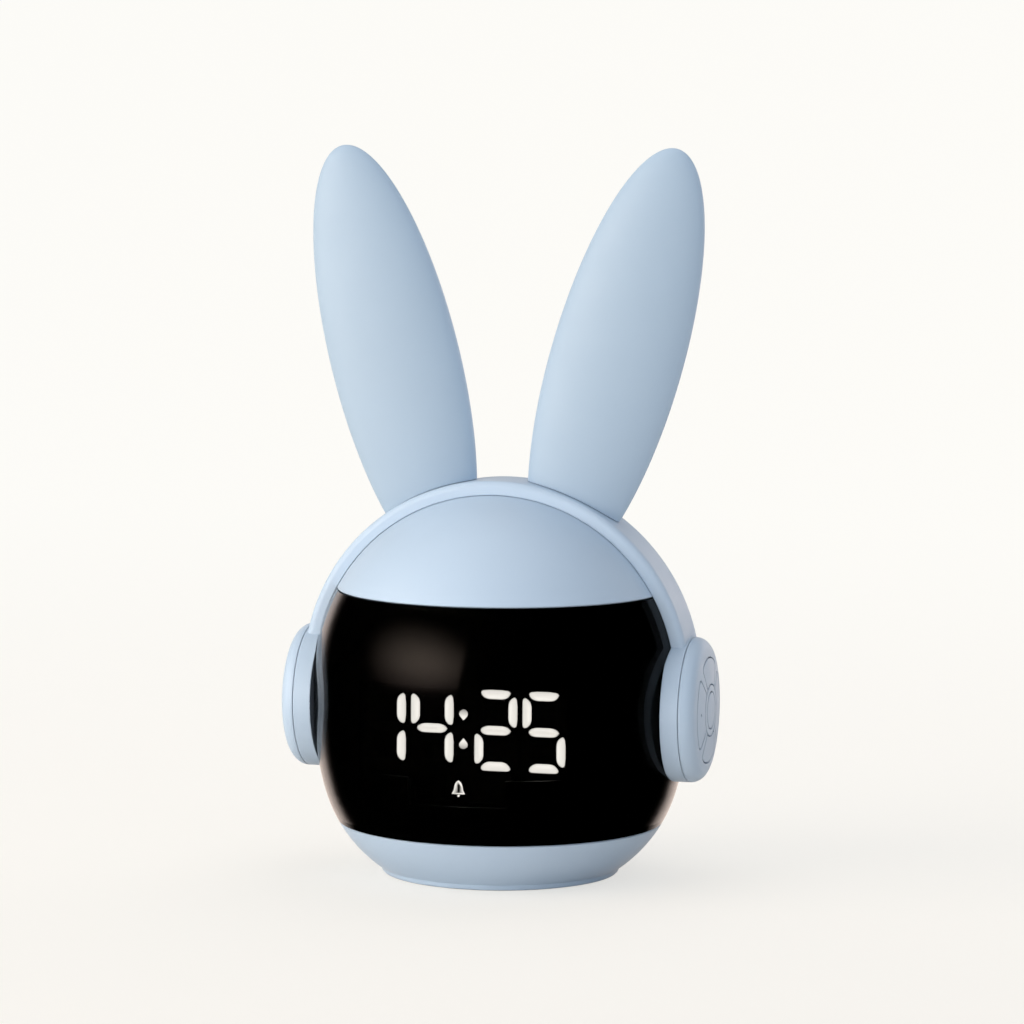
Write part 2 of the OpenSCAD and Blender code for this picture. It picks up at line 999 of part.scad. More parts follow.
// Place in the clock of a point given in the ear's own axes: across, thickness, length
function ear_place(p) =
    let (
        y = p[1] * cos(ear_lean) + p[2] * sin(ear_lean),
        h = -p[1] * sin(ear_lean) + p[2] * cos(ear_lean)
    )
    [
        ear_root_x + p[0] * cos(ear_tilt) + h * sin(ear_tilt),
        y,
        ear_root_z - p[0] * sin(ear_tilt) + h * cos(ear_tilt)
    ];

// Height of a point over the arch's outside
function over_arch(q) = norm([q[0], q[2] - dome_z]) - arch_r;

// A point of an oval at side angle f and rising angle v, shrunk by t
function oval_point(f, v, t) = [
    (ear_half_w - t) * cos(v) * cos(f),
    (ear_half_t - t) * cos(v) * sin(f),
    ear_mid + (ear_half_l - t) * sin(v)
];

// Rising angle at which that oval meets the arch, found by halving
function meet_angle(f, t, gap, lo = -75, hi = 10, n = 18) =
    let (mid = (lo + hi) / 2)
    n == 0 ? mid
    : over_arch(ear_place(oval_point(f, mid, t))) > gap ? meet_angle(f, t, gap, lo, mid, n - 1)
    : meet_angle(f, t, gap, mid, hi, n - 1);

// Length coordinate at which a straight line along the ear meets the arch
function meet_length(a, b, gap, lo = -14, hi = 14, n = 18) =
    let (mid = (lo + hi) / 2)
    n == 0 ? mid
    : over_arch(ear_place([a, b, mid])) > gap ? meet_length(a, b, gap, lo, mid, n - 1)
    : meet_length(a, b, gap, mid, hi, n - 1);

function side_angle(i) = 360 * i / ear_sides;

// Rings of points that make the hollow ear, from the tenon's end up the outside and,
// past the tip, down the inside
function tenon_ring(t, level) = [
    for (i = [0:ear_sides - 1])
        let (
            a = (tenon_half_w - t) * cos(side_angle(i)),
            b = (tenon_half_t - t) * sin(side_angle(i))
        )
        [a, b, level == "end" ? tenon_end : meet_length(a, b, level)]
];

function oval_ring(t, gap, k) = [
    for (i = [0:ear_sides - 1])
        let (v0 = meet_angle(side_angle(i), t, gap))
        oval_point(side_angle(i), v0 + (90 - v0) * k, t)
];

ear_points = concat(
    tenon_ring(0, "end"),
    tenon_ring(0, ear_gap),
    [for (k = [0:ear_rings - 1]) each oval_ring(0, ear_gap, k / ear_rings)],
    [[0, 0, ear_mid + ear_half_l]],
    [[0, 0, ear_mid + ear_half_l - ear_wall]],
    [for (k = [ear_inner_rings - 1:-1:0]) each oval_ring(ear_wall, ear_floor, k / ear_inner_rings)],
    tenon_ring(tenon_wall, ear_floor),
    tenon_ring(tenon_wall, "end")
);

// Faces between ring a and the next ring, both given by their first point
function ring_faces(a, b) = [
    for (i = [0:ear_sides - 1])
        let (j = (i + 1) % ear_sides)
        each [[a + i, b + j, a + j], [a + i, b + i, b + j]]
];

module ear_shell() {
    n = ear_sides;
    outer = ear_rings + 2;
    tip = outer * n;
    inner0 = tip + 2;
    inner = ear_inner_rings + 2;
    faces = concat(
        [for (k = [0:outer - 2]) each ring_faces(k * n, (k + 1) * n)],
        [for (i = [0:n - 1]) [(outer - 1) * n + i, tip, (outer - 1) * n + (i + 1) % n]],
        [for (i = [0:n - 1]) [tip + 1, inner0 + i, inner0 + (i + 1) % n]],
        [for (k = [0:inner - 2]) each ring_faces(inner0 + k * n, inner0 + (k + 1) * n)],
        ring_faces(inner0 + (inner - 1) * n, 0)
    );
    polyhedron(points = ear_points, faces = faces, convexity = 6);
}

module right_ear() {
    color(blue)
    at_ear()
        ear_shell();
}

module left_ear() {
    color(blue)
    mirror([1, 0, 0])
        at_ear()
            ear_shell();
}

// Slots for the tenons, reaching above and below the ear's root
module ear_slots(above) {
    both_sides()
        at_ear()
            translate([0, 0, tenon_end - 4])
                linear_extrude(above - tenon_end + 4)
                    slot_2d(tenon_half_w + 0.3, tenon_half_t + 0.3);
}

module slot_2d(half_w, half_t) {
    square([2 * (half_w - half_t), 2 * half_t], center = true);
    for (s = [-1, 1])
        translate([s * (half_w - half_t), 0])
            circle(half_t);
}

// Board with two lamps that closes each tenon under the domed top
lamp_board_t = 1.2;
lamp_r = 1.5;
module ear_lamp() {
    at_ear() {
        translate([0, 0, tenon_end - lamp_board_t])
            linear_extrude(lamp_board_t)
                slot_2d(tenon_half_w + 1.6, tenon_half_t + 1.2);
        for (s = [-1, 1])
            translate([s * 3.2, 0, tenon_end - eps]) {
                cylinder(r = lamp_r, h = 2.2);
                translate([0, 0, 2.2])
                    sphere(lamp_r);
            }
    }
}

module right_ear_lamp() {
    color(white)
    ear_lamp();
}

module left_ear_lamp() {
    color(white)
    mirror([1, 0, 0])
        ear_lamp();
}

// ---- Inside ----------------------------------------------------------------------------------

cell_y = -3;
cell_z = 20.2;
cradle_wall = 1.2;
cradle_top = cell_z + cell_d / 2 + 0.6;
floor_top = base_z + floor_t;
fin_x = 22;

module battery_cell() {
    color("#3a6ea5")
    along_x(-cell_l / 2, cell_y, cell_z) {
        cylinder(d = cell_d, h = cell_l - 1);
        translate([0, 0, cell_l - 1])
            cylinder(r = 3, h = 1);
    }
}

module battery_cradle() {
    half_l = cell_l / 2 + 0.3 + cradle_wall;
    half_w = cell_d / 2 + 0.15 + cradle_wall;
    color("#e8e8e4")
    difference() {
        union() {
            intersection() {
                translate([-half_l, cell_y - half_w, floor_top + 0.05])
                    cube([2 * half_l, 2 * half_w, cell_z - floor_top + 2]);
                body_solid(shelf_depth + 0.3);
            }
            // Straps over the cell, each with a shoe for the main board
            for (s = [-1, 1])
                translate([s * fin_x - 2, 0, 0]) {
                    translate([0, cell_y - half_w, cell_z])
                        cube([4, 2 * half_w, cradle_top - cell_z]);
                    translate([0, board_y - 2.6, cradle_top - 0.5])
                        cube([4, board_t + 5.2, 3]);
                }
        }
        along_x(-cell_l / 2 - 0.3, cell_y, cell_z)
            cylinder(d = cell_d + 0.3, h = cell_l + 0.6);
        translate([-cell_l / 2 - 0.3, cell_y - cell_d / 2 - 0.15, cell_z])
            cube([cell_l + 0.6, cell_d + 0.3, 4]);
        translate([-cell_l / 2 + 6, cell_y - 5, -1])
            cube([cell_l - 12, 10, cell_z]);
        translate([-big / 2, board_y - 0.1, cradle_top - 0.1])
            cube([big, board_t + 0.2, 10]);
        translate([-half_l - 1, cell_y - half_w - 1, floor_top + 2.5])
            cube([10, 3, 6]);
    }
}

main_half_w = 25;
main_top = 80;
module main_board() {
    color(board_green)
    difference() {
        translate([-main_half_w, board_y, cradle_top])
            cube([2 * main_half_w, board_t - 0.05, main_top - cradle_top]);
        both_sides()
            along_y(hanger_x, board_y - 1, hanger_z)
                cylinder(r = small_pilot_r + 0.15, h = board_t + 2);
    }
}

// Parts on the main board: chips and connectors in front, capacitors behind
module board_parts() {
    color("#1c1d20") {
        translate([-6, board_y - 1.5, 48])
            cube([12, 1.5, 12]);
        translate([11, board_y - 1.2, 40])
            cube([7, 1.2, 5]);
        for (x = [-18, -8, 6])
            translate([x, board_y - 5, 33])
                cube([8, 5, 4.5]);
        for (x = [-14, 14])
            along_y(x, board_y + board_t - 0.05, 62)
                cylinder(d = 6.3, h = 7);
        along_y(0, board_y + board_t - 0.05, 42)
            cylinder(d = 12, h = 6);
    }
}

// Charging board and socket on the rear cover's floor
socket_w = 9;
socket_h = 3.2;
charge_board_t = 1.2;
charge_board_z = usb_z - socket_h / 2 - charge_board_t;
charge_board_l = 14;
charge_inset = 4.752;
charge_rear_y = body_radius(usb_z) - charge_inset;
module charge_posts() {
    both_sides()
        translate([6.5, charge_rear_y - charge_board_l + 3, floor_top - 0.2])
            cylinder(r = 2.2, h = charge_board_z - floor_top + 0.2);
}

module charge_board() {
    color(board_green)
    difference() {
        translate([-9, charge_rear_y - charge_board_l, charge_board_z + 0.02])
            cube([18, charge_board_l - 3, charge_board_t - 0.04]);
        both_sides()
            translate([6.5, charge_rear_y - charge_board_l + 3, charge_board_z - 1])
                cylinder(r = small_pilot_r + 0.15, h = 4);
    }
}

socket_l = 12;
socket_mouth_y = body_radius(usb_z) - 1;
module socket_2d(g = 0) {
    h = socket_h / 2 + g;
    square([socket_w - socket_h, 2 * h], center = true);
    for (s = [-1, 1])
        translate([s * (socket_w - socket_h) / 2, 0])
            circle(h);
}

module charge_opening() {
    upright(charge_rear_y - 3, 20)
        translate([0, usb_z])
            socket_2d(0.4);
}

module charge_socket() {
    color(steel)
    difference() {
        upright(socket_mouth_y - socket_l, socket_l)
            translate([0, usb_z])
                socket_2d();
        upright(socket_mouth_y - 6, 8)
            translate([0, usb_z])
                difference() {
                    socket_2d(-0.35);
                    square([6.2, 0.8], center = true);
                }
    }
}

// Loudspeaker behind the rear cover's grille
speaker_front_y = speaker_wall_y - 0.1;
module speaker_frame() {
    color("#1c1d20")
    along_y(0, speaker_front_y, speaker_z)
        rotate([180, 0, 0])
            difference() {
                union() {
                    cylinder(r = speaker_r - 0.1, h = 2);
                    cylinder(r1 = speaker_r - 1.5, r2 = 9, h = 8);
                }
                translate([0, 0, -eps])
                    cylinder(r1 = speaker_r - 3, r2 = 6, h = 6);
                translate([0, 0, -1])
                    cylinder(r = 6, h = 20);
            }
}

module speaker_cone() {
    color("#2a2b2e")
    along_y(0, speaker_front_y, speaker_z)
        rotate([180, 0, 0])
            union() {
                difference() {
                    translate([0, 0, 0.6])
                        cylinder(r1 = speaker_r - 4.2, r2 = 5.6, h = 5.4);
                    translate([0, 0, -0.2])
                        cylinder(r1 = speaker_r - 4.2, r2 = 4.4, h = 5.6);
                }
                translate([0, 0, 3.6])
                    cylinder(r = 5.7, h = 2.4);
            }
}

module speaker_magnet() {
    color(steel)
    along_y(0, speaker_front_y - 8.05, speaker_z)
        rotate([180, 0, 0])
            cylinder(r = 10.5, h = 6);
}

// Pierced disc let into the rear cover, following the body's curve
module speaker_grille() {
    color(blue)
    difference() {
        intersection() {
            body_solid(0, base_z, -90);
            along_y(0, split_y + 10, speaker_z)
                cylinder(r = grille_r, h = big);
        }
        body_solid(grille_t, base_z, -90);
        for (k = [0:grille_rings])
            for (i = [0:max(0, 6 * k - 1)])
                grille_hole(k, i);
    }
}

grille_t = 1.5;
grille_r = speaker_r - 0.65;
grille_rings = 4;
module grille_hole(k, i) {
    a = k == 0 ? 0 : 360 * i / (6 * k);
    along_y(grille_step * k * cos(a), 20, speaker_z + grille_step * k * sin(a))
        cylinder(r = grille_hole_r, h = 40, $fn = 16);
}

module foot_ring() {
    color("#8d9aa8")
    difference() {
        cylinder(r = foot_r, h = base_z + foot_inset - 0.05);
        translate([0, 0, -1])
            cylinder(r = foot_r - foot_w, h = base_z + foot_inset + 2);
    }
}

module screw(r, l, head_r, head_h) {
    translate([0, 0, -l])
        cylinder(r = r, h = l + eps);
    difference() {
        cylinder(r = head_r, h = head_h);
        for (a = [0, 90])
            rotate(a)
                translate([-head_r * 0.6, -0.4, head_h - 0.9])
                    cube([head_r * 1.2, 0.8, 2]);
    }
}

module housing_screws() {
    color(steel)
    for (p = rear_screws)
        along_y(p[0], split_y + well_end_t + 0.02, p[1])
            screw(screw_r, screw_l, screw_head_r, screw_head_h);
}

module board_screws() {
    color(steel) {
        both_sides()
            for (z = frame_boss_z)
                along_y(frame_boss_x, display_back_y + board_t + 0.02, z)
                    screw(small_screw_r, board_t + frame_pilot_l - 0.4, 1.9, 1.4);
        both_sides()
            translate([hanger_x, board_y - 0.02, hanger_z])
                rotate([90, 0, 0])
                    screw(small_screw_r, 6, 1.9, 1.4);
    }
}

front_housing();
rear_cover();
display_window();
window_frame();
headband();
right_cap();
left_cap();
right_ear();
left_ear();
right_ear_lamp();
left_ear_lamp();
middle_button();
petal_button(up_petal);  // upper_button
petal_button(down_petal);  // lower_button
petal_button(front_petal);  // front_button
petal_button(rear_petal);  // rear_button
button_mat();
button_board();
display_module();
lit_segments();
dark_segments();
display_board();
main_board();
board_parts();
battery_cell();
battery_cradle();
charge_board();
charge_socket();
speaker_frame();
speaker_cone();
speaker_magnet();
speaker_grille();
foot_ring();
housing_screws();
board_screws();
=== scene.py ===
"""Looks of the kids alarm clock with night light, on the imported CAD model."""
import bpy
import math
from mathutils import Matrix, Vector


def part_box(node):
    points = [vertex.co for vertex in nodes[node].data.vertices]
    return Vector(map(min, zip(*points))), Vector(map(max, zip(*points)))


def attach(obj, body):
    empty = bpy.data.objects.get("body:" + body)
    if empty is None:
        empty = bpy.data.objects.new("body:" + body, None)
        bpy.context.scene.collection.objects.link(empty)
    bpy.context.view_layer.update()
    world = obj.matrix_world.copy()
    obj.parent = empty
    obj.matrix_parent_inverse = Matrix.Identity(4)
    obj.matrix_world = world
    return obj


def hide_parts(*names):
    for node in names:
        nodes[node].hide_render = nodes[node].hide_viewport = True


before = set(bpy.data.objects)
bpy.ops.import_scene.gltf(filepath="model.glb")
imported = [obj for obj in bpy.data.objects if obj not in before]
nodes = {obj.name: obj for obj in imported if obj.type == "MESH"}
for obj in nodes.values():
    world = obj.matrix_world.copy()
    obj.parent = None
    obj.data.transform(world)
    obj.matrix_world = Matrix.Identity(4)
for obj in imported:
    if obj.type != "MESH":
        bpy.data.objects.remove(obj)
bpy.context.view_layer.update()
MM = 0.001


# ---------------------------------------------------------------- materials

def colour(hex_code):
    """Turns an sRGB hex code into the linear colour that a shader takes."""
    def channel(start):
        v = int(hex_code[start:start + 2], 16) / 255
        return v / 12.92 if v <= 0.04045 else ((v + 0.055) / 1.055) ** 2.4
    return (channel(1), channel(3), channel(5), 1.0)


def node(tree, kind, settings=None, links=None):
    """Adds one shader node. settings holds its properties and socket values, links its inputs."""
    made = tree.nodes.new(kind)
    for key, value in (settings or {}).items():
        if isinstance(key, str) and hasattr(made, key):
            setattr(made, key, value)
        else:
            made.inputs[key].default_value = value
    for key, source in (links or {}).items():
        tree.links.new(source, made.inputs[key])
    return made


def material(name):
    """Makes an empty node material, and gives it and its tree."""
    made = bpy.data.materials.new(name)
    made.use_nodes = True
    made.node_tree.nodes.clear()
    return made, made.node_tree


def finish_with(tree, shader):
    """Gives a material its last shader."""
    node(tree, "ShaderNodeOutputMaterial", links={"Surface": shader.outputs[0]})


MOTTLING = 0.03             # how far a moulding's colour drifts, as a share of it
DRIFT_SIZE = 0.035          # metres over which it drifts
GLOSS_PATCH = 0.006         # metres over which its gloss varies
GLOSS_SPREAD = 0.04         # and how far its roughness does
MIX_A, MIX_B, MIX_RESULT = 6, 7, 2      # the colour sockets of a Mix node


def moulded(name, base, rough, grain_mm, deep_mm, edge_mm=0.0, **sockets):
    """A moulded plastic, or a piece with such a skin: its colour drifts a little over centimetres,
    as a moulding's does, its gloss varies over millimetres, and its skin has the fine grain of the
    tool, grain_mm wide and deep_mm deep. edge_mm is the small radius that polishing leaves on its
    edges and in its corners."""
    made, tree = material(name)
    place = node(tree, "ShaderNodeTexCoord").outputs["Object"]
    drift = node(tree, "ShaderNodeTexNoise", {"Scale": 1 / DRIFT_SIZE, "Detail": 2.0}, {"Vector": place})
    dark = [c * (1 - MOTTLING) for c in colour(base)[:3]] + [1.0]
    light = [min(1.0, c * (1 + MOTTLING)) for c in colour(base)[:3]] + [1.0]
    tint = node(tree, "ShaderNodeMix", {"data_type": "RGBA", MIX_A: dark, MIX_B: light},
                {0: drift.outputs["Fac"]})
    patch = node(tree, "ShaderNodeTexNoise", {"Scale": 1 / GLOSS_PATCH, "Detail": 3.0}, {"Vector": place})
    gloss = node(tree, "ShaderNodeMapRange", {
        "From Min": 0.3, "From Max": 0.7, "To Min": rough - GLOSS_SPREAD, "To Max": rough + GLOSS_SPREAD},
        {"Value": patch.outputs["Fac"]})
    grain = node(tree, "ShaderNodeTexNoise", {"Scale": 1 / (grain_mm * MM), "Detail": 2.0}, {"Vector": place})
    bump = node(tree, "ShaderNodeBump", {"Strength": 1.0, "Distance": deep_mm * MM},
                {"Height": grain.outputs["Fac"]})
    if edge_mm:
        edge = node(tree, "ShaderNodeBevel", {"samples": 4, "Radius": edge_mm * MM})
        tree.links.new(edge.outputs["Normal"], bump.inputs["Normal"])
    shader = node(tree, "ShaderNodeBsdfPrincipled", sockets, {
        "Base Color": tint.outputs[MIX_RESULT], "Roughness": gloss.outputs["Result"],
        "Normal": bump.outputs["Normal"]})
    finish_with(tree, shader)
    return made


# Matte light blue ABS from a spark-eroded tool: soft broad highlights, no mirror reflection.
blue_abs = moulded("matte_moulded_blue_abs", "#B6C8DA", rough=0.48, grain_mm=0.35, deep_mm=0.006,
                   edge_mm=0.45, IOR=1.5)
# The ears are a thinner, slightly milky moulding, so that a lamp can shine up into them.
milky_blue = moulded("milky_moulded_blue_abs", "#B6CCE1", rough=0.5, grain_mm=0.35, deep_mm=0.006, IOR=1.5)
# Black ABS inside the window: dull, so that nothing behind the glass shows.
black_abs = moulded("matte_moulded_black_abs", "#0B0B0C", rough=0.6, grain_mm=0.4, deep_mm=0.01)
# White polycarbonate light guides and lamp covers.
white_pc = moulded("moulded_white_polycarbonate", "#E9E8E2", rough=0.35, grain_mm=0.5, deep_mm=0.004)
# Translucent silicone mat: waxy and soft.
silicone = moulded("moulded_grey_silicone", "#C9CCCB", rough=0.55, grain_mm=0.5, deep_mm=0.01)
# Rubber foot: dark and dull, slightly grainy.
rubber = moulded("moulded_dark_rubber", "#2A3440", rough=0.8, grain_mm=0.4, deep_mm=0.02)
# White ABS battery cradle.
white_abs = moulded("moulded_white_abs", "#DCDCD6", rough=0.5, grain_mm=0.4, deep_mm=0.008)
# Black epoxy packages of the chips.
epoxy = moulded("moulded_black_epoxy", "#17181A", rough=0.5, grain_mm=0.3, deep_mm=0.008)
# PVC heat-shrink sleeve of the battery cell: satin.
pvc = moulded("shrunk_green_pvc_sleeve", "#3E8E7A", rough=0.3, grain_mm=2.0, deep_mm=0.01)
# Solder-masked glass fibre board: satin green with a faint weave.
board = moulded("solder_masked_fibre_board", "#1F5B36", rough=0.35, grain_mm=0.6, deep_mm=0.006)
# Black solder mask on the display's board, so that it does not show behind the window.
black_board = moulded("black_solder_masked_fibre_board", "#0A0B0B", rough=0.5, grain_mm=0.6, deep_mm=0.006)
# Doped paper cone: dull black fibre.
paper = moulded("pressed_black_paper", "#202022", rough=0.85, grain_mm=0.5, deep_mm=0.03)
# Unlit light guides of the digits: smoke black.
unlit = moulded("unlit_smoke_polycarbonate", "#070708", rough=0.4, grain_mm=0.5, deep_mm=0.002)


STEEL_GRAIN = 0.0008        # metres
STEEL_SPREAD = 0.08


def steel(name, base, rough):
    """A plated steel part: bright, with a fine drawn grain in its gloss."""
    made, tree = material(name)
    place = node(tree, "ShaderNodeTexCoord").outputs["Object"]
    grain = node(tree, "ShaderNodeTexNoise", {"Scale": 1 / STEEL_GRAIN, "Detail": 3.0}, {"Vector": place})
    gloss = node(tree, "ShaderNodeMapRange", {"To Min": rough - STEEL_SPREAD, "To Max": rough + STEEL_SPREAD},
                 {"Value": grain.outputs["Fac"]})
    shader = node(tree, "ShaderNodeBsdfPrincipled", {"Base Color": colour(base), "Metallic": 1.0},
                  {"Roughness": gloss.outputs["Result"]})
    finish_with(tree, shader)
    return made


HAZE_SIZE = 0.012           # metres, as is the next
FROST_SIZE = 0.0006
LED_STRENGTH = 5.0          # so that what the smoke acrylic lets through is white


def smoke_acrylic():
    """Moulded smoke acrylic, polished: a black gloss face that mirrors the studio, through which
    only the lit digits show. Its gloss is weaker than real acrylic's, as in the photograph."""
    made, tree = material("polished_smoke_acrylic")
    place = node(tree, "ShaderNodeTexCoord").outputs["Object"]
    haze = node(tree, "ShaderNodeTexNoise", {"Scale": 1 / HAZE_SIZE, "Detail": 2.0}, {"Vector": place})
    gloss = node(tree, "ShaderNodeMapRange", {"To Min": 0.05, "To Max": 0.09}, {"Value": haze.outputs["Fac"]})
    finish_with(tree, node(tree, "ShaderNodeBsdfPrincipled", {
        "Base Color": colour("#7C7A7A"), "IOR": 1.22, "Transmission Weight": 1.0},
        {"Roughness": gloss.outputs["Result"]}))
    return made


def lit_polycarbonate():
    """Lit light guides: frosted white polycarbonate with an LED under it. The rim of each guide is
    brightest, and its ends, which are furthest from the LED, are greyer."""
    made, tree = material("lit_frosted_polycarbonate")
    place = node(tree, "ShaderNodeTexCoord").outputs["Object"]
    glow_at = node(tree, "ShaderNodeAttribute", {"attribute_name": "glow"})
    level = node(tree, "ShaderNodeMath", {"operation": "MULTIPLY", 1: LED_STRENGTH},
                 {0: glow_at.outputs["Fac"]})
    frost = node(tree, "ShaderNodeTexNoise", {"Scale": 1 / FROST_SIZE, "Detail": 2.0}, {"Vector": place})
    gloss = node(tree, "ShaderNodeMapRange", {"To Min": 0.35, "To Max": 0.5}, {"Value": frost.outputs["Fac"]})
    finish_with(tree, node(tree, "ShaderNodeBsdfPrincipled", {
        "Base Color": colour("#E8E8E2"), "Emission Color": colour("#FCFCF4")},
        {"Roughness": gloss.outputs["Result"], "Emission Strength": level.outputs[0]}))
    return made


zinc_steel = steel("zinc_plated_steel", "#B9BBBD", rough=0.32)
magnet_steel = steel("nickel_plated_steel", "#A9A8A4", rough=0.25)
smoke_glass = smoke_acrylic()
lit_guide = lit_polycarbonate()

finishes = {
    "front_housing": blue_abs, "rear_cover": blue_abs, "headband": blue_abs,
    "right_cap": blue_abs, "left_cap": blue_abs, "middle_button": blue_abs,
    "upper_button": blue_abs, "lower_button": blue_abs, "front_button": blue_abs,
    "rear_button": blue_abs, "speaker_grille": blue_abs,
    "right_ear": milky_blue, "left_ear": milky_blue,
    "display_window": smoke_glass, "window_frame": black_abs, "display_module": black_abs,
    "lit_segments": white_pc, "dark_segments": unlit,
    "right_ear_lamp": white_pc, "left_ear_lamp": white_pc, "button_mat": silicone,
    "button_board": board, "display_board": black_board, "main_board": board, "charge_board": board,
    "board_parts": epoxy, "battery_cell": pvc, "battery_cradle": white_abs,
    "charge_socket": zinc_steel, "speaker_frame": zinc_steel, "speaker_cone": paper,
    "speaker_magnet": magnet_steel, "foot_ring": rubber, "housing_screws": zinc_steel,
    "board_screws": zinc_steel,
}


def coat(piece, finish):
    """Gives a piece its one material."""
    piece.data.materials.clear()
    piece.data.materials.append(finish)


for name, finish in finishes.items():
    coat(nodes[name], finish)


# ---------------------------------------------------------------- modelling helpers

def deselect():
    if bpy.context.object and bpy.context.object.mode != "OBJECT":
        bpy.ops.object.mode_set(mode="OBJECT")
    bpy.ops.object.select_all(action="DESELECT")


def only(piece):
    deselect()
    piece.select_set(True)
    bpy.context.view_layer.objects.active = piece


def new_piece(add, **settings):
    """Starts a piece from a primitive, with nothing else selected."""
    deselect()
    add(**settings)
    return bpy.context.object


def settle(piece):
    """Puts the piece's place into its mesh."""
    only(piece)
    bpy.ops.object.transform_apply(location=True, rotation=True, scale=True)


def pick(piece, kind, test):
    """Opens the piece for editing, with the vertices, edges or faces selected whose middle
    passes the test."""
    only(piece)
    bpy.ops.object.mode_set(mode="EDIT")
    bpy.ops.mesh.select_mode(type=kind)
    bpy.ops.mesh.select_all(action="DESELECT")
    bpy.ops.object.mode_set(mode="OBJECT")
    mesh = piece.data
    if kind == "FACE":
        for face in mesh.polygons:
            face.select = test(face.center)
    elif kind == "EDGE":
        for edge in mesh.edges:
            ends = [mesh.vertices[i].co for i in edge.vertices]
            edge.select = test((ends[0] + ends[1]) / 2)
    else:
        for vertex in mesh.vertices:
            vertex.select = test(vertex.co)
    bpy.ops.object.mode_set(mode="EDIT")


def apply(piece, kind, **settings):
    """Adds a modifier with its settings and applies it."""
    only(piece)
    change = piece.modifiers.new(kind.lower(), kind)
    for key, value in settings.items():
        setattr(change, key, value)
    bpy.ops.object.modifier_apply(modifier=change.name)


def join(pieces, name):
    deselect()
    for piece in pieces:
        piece.select_set(True)
    bpy.context.view_layer.objects.active = pieces[0]
    bpy.ops.object.join()
    pieces[0].name = name
    return pieces[0]


def copy_of(piece):
    only(piece)
    bpy.ops.object.duplicate()
    return bpy.context.object


def combine(piece, other, how):
    """Joins other to piece, or cuts it out, and takes other away."""
    apply(piece, "BOOLEAN", object=other, operation=how, solver="EXACT")
    bpy.data.objects.remove(other, do_unlink=True)


# ---------------------------------------------------------------- ears

# The CAD's own sizes and places, in mm
EAR_HALF = (16.9, 6.6, 55.6)    # half its width, thickness and length
EAR_MIDDLE_Z = 36.3             # above its root
TENON_HALF = (8, 3.8)
TENON_LONG = 14
EAR_ROOT = (19.0, 0, 95.0)
EAR_LEAN, EAR_NOD = 15.6, -2.5  # degrees outwards and forwards
DOME_Z = 49.8                   # middle of the arch's curve
ARCH_R = 50.3                   # its outside
ARCH_GAP = 0.15                 # between it and the ear

EAR_TURN = Matrix.Rotation(math.radians(EAR_LEAN), 4, "Y") @ Matrix.Rotation(math.radians(EAR_NOD), 4, "X")
EAR_STAND = Matrix.Translation(Vector(EAR_ROOT) * MM) @ EAR_TURN


def ear():
    """The right ear: a long flat oval on the arch, with the tenon that plugs it into the head."""
    piece = new_piece(bpy.ops.mesh.primitive_uv_sphere_add, segments=144, ring_count=120, radius=1)
    piece.scale = [half * MM for half in EAR_HALF]
    piece.location = (0, 0, EAR_MIDDLE_Z * MM)
    settle(piece)
    piece.matrix_world = EAR_STAND
    settle(piece)
    arch = new_piece(bpy.ops.mesh.primitive_cylinder_add, vertices=720, radius=ARCH_R * MM + ARCH_GAP * MM,
                     depth=0.06, location=(0, 0, DOME_Z * MM), rotation=(math.pi / 2, 0, 0))
    settle(arch)
    combine(piece, arch, "DIFFERENCE")
    tenon = new_piece(bpy.ops.mesh.primitive_cylinder_add, vertices=96, radius=1, depth=TENON_LONG * MM)
    tenon.scale = (TENON_HALF[0] * MM, TENON_HALF[1] * MM, 1)
    settle(tenon)
    tenon.matrix_world = EAR_STAND
    settle(tenon)
    combine(piece, tenon, "UNION")
    only(piece)
    bpy.ops.object.shade_smooth_by_angle(angle=math.radians(40))
    return piece


def mirrored(piece, name):
    """A copy of the piece on the other side of the clock, with its own mesh."""
    other = copy_of(piece)
    other.name = name
    other.scale = (-1, 1, 1)
    settle(other)
    bpy.ops.object.mode_set(mode="EDIT")
    bpy.ops.mesh.select_all(action="SELECT")
    bpy.ops.mesh.normals_make_consistent(inside=False)
    bpy.ops.object.mode_set(mode="OBJECT")
    return other


right_ear = ear()
right_ear.name = "right_ear_shell"
coat(right_ear, milky_blue)
left_ear = mirrored(right_ear, "left_ear_shell")
for piece, stands_for in ((right_ear, "right_ear"), (left_ear, "left_ear")):
    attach(piece, "clock")
    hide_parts(stands_for)


# ---------------------------------------------------------------- lit digits

# Places and sizes in mm, turns in degrees
DIGIT_Z = 41.4
DIGITS = ((-20.15, "bc"), (-8.05, "bcfg"), (8.05, "abdeg"), (20.15, "acdfg"))
SIDE_X, SIDE_Z, END_Z = 4.28, 4.65, 8.9     # of the segments, from the middle of their digit
SEGMENTS = {"a": (0, END_Z, 90), "b": (SIDE_X, SIDE_Z, 0), "c": (SIDE_X, -SIDE_Z, 0),
            "d": (0, -END_Z, -90), "e": (-SIDE_X, -SIDE_Z, 180), "f": (-SIDE_X, SIDE_Z, 180),
            "g": (0, 0, 90)}
COLON_X, COLON_RISE = -0.15, 3.85           # its dots stand that far above and below DIGIT_Z
BELL_X, BELL_Z = -1.3, 25.3

GUIDE_DEEP = 2.4
GUIDE_WIDE = 2.1
UPRIGHT_LONG, UPRIGHT_BLANK = 7.3, 4.7      # finished, and as it is bevelled before it is stretched
UPRIGHT_OUTER, UPRIGHT_INNER = 0.5, 1.45    # how much of its corners is bevelled off
MIDDLE_LONG, MIDDLE_BLANK = 7.5, 4.2
MIDDLE_CORNER = 0.98
DOT_RADIUS = 1.0
DOT_POINT = 1.55                            # how far its point reaches
DOT_TAPER, DOT_SHOULDER = 1.2, 0.95         # the point's height and the half width of its foot
DOT_GREY = 0.3                              # glow of its outer end
FACE_GLOW = 0.84                            # of the rim's


